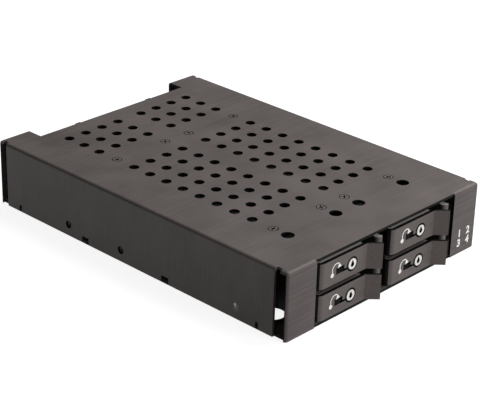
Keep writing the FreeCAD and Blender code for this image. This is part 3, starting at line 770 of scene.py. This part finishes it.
for bay in BAYS:
    low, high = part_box("lock_bush_" + bay)
    lock = Vector(((low.x + high.x) / 2, low.y - INK_HEIGHT, (low.z + high.z) / 2))
    mark = bmesh.new()
    dot = lock + Vector((DOT_ACROSS, 0, -DOT_DROP))
    foot = [mark.verts.new(dot + Vector((side * STEM_WIDTH / 2, 0, STEM_FOOT))) for side in (-1, 1)]
    stem = bmesh.ops.extrude_edge_only(mark, edges=[mark.edges.new(foot)])["geom"]
    upper = [part for part in stem if isinstance(part, bmesh.types.BMVert)]
    bmesh.ops.translate(mark, vec=(0, 0, STEM_TOP + DOT_DROP - STEM_FOOT), verts=upper)
    bow = lock + Vector((DOT_ACROSS + BOW_RADIUS, 0, STEM_TOP))
    rim = [part for part in stem if not isinstance(part, bmesh.types.BMFace)]
    bmesh.ops.spin(mark, geom=rim, axis=(0, 1, 0), cent=bow, angle=math.radians(BOW_ANGLE), steps=BOW_STEPS)
    bmesh.ops.create_circle(mark, cap_ends=True, radius=DOT_RADIUS, segments=DOT_SIDES,
                            matrix=Matrix.Translation(dot) @ FACING_FRONT)
    tip = lock + Vector((ARROW_ACROSS, -0.5 * INK_HEIGHT, ARROW_HEIGHT))
    bmesh.ops.create_circle(mark, cap_ends=True, radius=ARROW_RADIUS, segments=3,
                            matrix=Matrix.Translation(tip) @ FACING_FRONT
                            @ Matrix.Rotation(math.radians(ARROW_TURN), 4, "Z"))
    bmesh.ops.reverse_faces(mark, faces=[face for face in mark.faces if face.normal.y > 0])
    placed(mark, "lock_mark_" + bay, white_ink, "handle_body_" + bay)

# Bay numbers: plain white digits printed on the right front flange, in the order of the four bays.
# Each is drawn as text, made a mesh and then laid on the flange.
DIGIT_HEIGHT = 2.8 * MM
DIGIT_SHARE = 0.7
DIGIT_BOLDNESS = 0.15 * MM
DIGITS_FROM_RIGHT = 6.95 * MM
DIGIT_PLACES = (("1", -2.5 * MM, 8.0 * MM), ("2", 2.5 * MM, 8.0 * MM),
                ("3", -2.5 * MM, 4.2 * MM), ("4", 2.5 * MM, 4.2 * MM))
for digit, across, height in DIGIT_PLACES:
    text = bpy.data.curves.new("digit_source", "FONT")
    text.body = digit
    text.size = DIGIT_HEIGHT / DIGIT_SHARE
    text.offset = DIGIT_BOLDNESS
    text.align_x = "CENTER"
    text.align_y = "CENTER"
    source = bpy.data.objects.new("digit_source", text)
    bpy.context.scene.collection.objects.link(source)
    bpy.context.view_layer.update()
    mesh = bpy.data.meshes.new_from_object(source.evaluated_get(bpy.context.evaluated_depsgraph_get()))
    bpy.data.objects.remove(source)
    place = Vector((shell_high.x - DIGITS_FROM_RIGHT + across, shell_low.y - INK_HEIGHT, height))
    mesh.transform(Matrix.Translation(place) @ FACING_FRONT)
    mesh.materials.clear()
    mesh.materials.append(white_ink)
    number = bpy.data.objects.new("bay_number_" + digit, mesh)
    bpy.context.scene.collection.objects.link(number)
    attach(number, "chassis")

# Floor: a plain white sheet under the case, white to the camera and in reflections. The case still
# drops its soft shadow on it.
FLOOR_HALF = 3.0
FLOOR_GAP = 0.2 * MM
FLOOR_GLOW = 0.88
FLOOR_LOOK = {"Base Color": (0.25, 0.25, 0.25, 1.0), "Roughness": 0.9, "Specular IOR Level": 0.0,
              "Emission Color": (1.0, 1.0, 1.0, 1.0)}


def seen_by(tree, link, rays):
    path = tree.new("ShaderNodeLightPath")
    seen = path.outputs[rays[0]]
    for ray in rays[1:]:
        either = add_node(tree, "Math", operation="ADD")
        either.use_clamp = True
        link.new(seen, either.inputs[0])
        link.new(path.outputs[ray], either.inputs[1])
        seen = either.outputs[0]
    return seen


white_floor, floor_nodes, floor_links = new_material("white_floor")
floor_shader = floor_nodes["Principled BSDF"]
set_inputs(floor_shader, FLOOR_LOOK)
glow = add_node(floor_nodes, "Math", {1: FLOOR_GLOW}, "MULTIPLY")
floor_links.new(seen_by(floor_nodes, floor_links, ("Is Camera Ray", "Is Glossy Ray", "Is Transmission Ray")),
                glow.inputs[0])
floor_links.new(glow.outputs[0], floor_shader.inputs["Emission Strength"])
sheet = bmesh.new()
bmesh.ops.create_grid(sheet, x_segments=1, y_segments=1, size=FLOOR_HALF,
                      matrix=Matrix.Translation((0, 0, cad_box[0].z - FLOOR_GAP)))
finished(sheet, "floor", white_floor)

# Light: a dim even world, a soft lamp high at the right and a larger one in front, so that the top
# is brightest at its right and the left side plate is darkest.
AMBIENT_LIGHT = {"To Min": 0.16, "To Max": 1.0}
world = bpy.data.worlds.new("studio")
bpy.context.scene.world = world
world.use_nodes = True
sky, sky_links = world.node_tree.nodes, world.node_tree.links
backdrop = sky["Background"]
set_inputs(backdrop, {"Color": (1.0, 1.0, 1.0, 1.0)})
level = add_node(sky, "MapRange", AMBIENT_LIGHT)
sky_links.new(seen_by(sky, sky_links, ("Is Camera Ray", "Is Transmission Ray")), level.inputs["Value"])
sky_links.new(level.outputs["Result"], backdrop.inputs["Strength"])


def add_lamp(name, place, size, power):
    lamp = bpy.data.lights.new(name, "AREA")
    lamp.shape = "SQUARE"
    lamp.size = size
    lamp.energy = power
    holder = bpy.data.objects.new(name, lamp)
    holder.location = place
    holder.rotation_euler = (-Vector(place)).to_track_quat("-Z", "Y").to_euler()
    bpy.context.scene.collection.objects.link(holder)


add_lamp("top_lamp", place=(0.32, -0.08, 0.46), size=0.45, power=4.3)
add_lamp("front_lamp", place=(0.25, -1.15, 0.45), size=0.6, power=10.5)

# Camera: at the photograph's place, from a fit to the vents and the outline of the case. The
# angles are in degrees.
CAMERA_PLACE = (-0.39081, -0.37120, 0.26581)
CAMERA_YAW = 46.751
CAMERA_PITCH = 25.777
CAMERA_ROLL = 1.537
LENS = 121.107
SENSOR_WIDTH = 36.0
NEAREST = 0.01
FARTHEST = 10.0
camera = bpy.data.cameras.new("camera")
camera.lens = LENS
camera.sensor_width = SENSOR_WIDTH
camera.clip_start = NEAREST
camera.clip_end = FARTHEST
viewer = bpy.data.objects.new("camera", camera)
bpy.context.scene.collection.objects.link(viewer)
yaw = Matrix.Rotation(math.radians(-CAMERA_YAW), 4, "Z")
pitch = Matrix.Rotation(math.radians(90 - CAMERA_PITCH), 4, "X")
roll = Matrix.Rotation(math.radians(CAMERA_ROLL), 4, "Z")
viewer.matrix_world = Matrix.Translation(CAMERA_PLACE) @ (yaw @ pitch) @ roll
bpy.context.scene.camera = viewer
bpy.context.scene.view_settings.view_transform = "Standard"
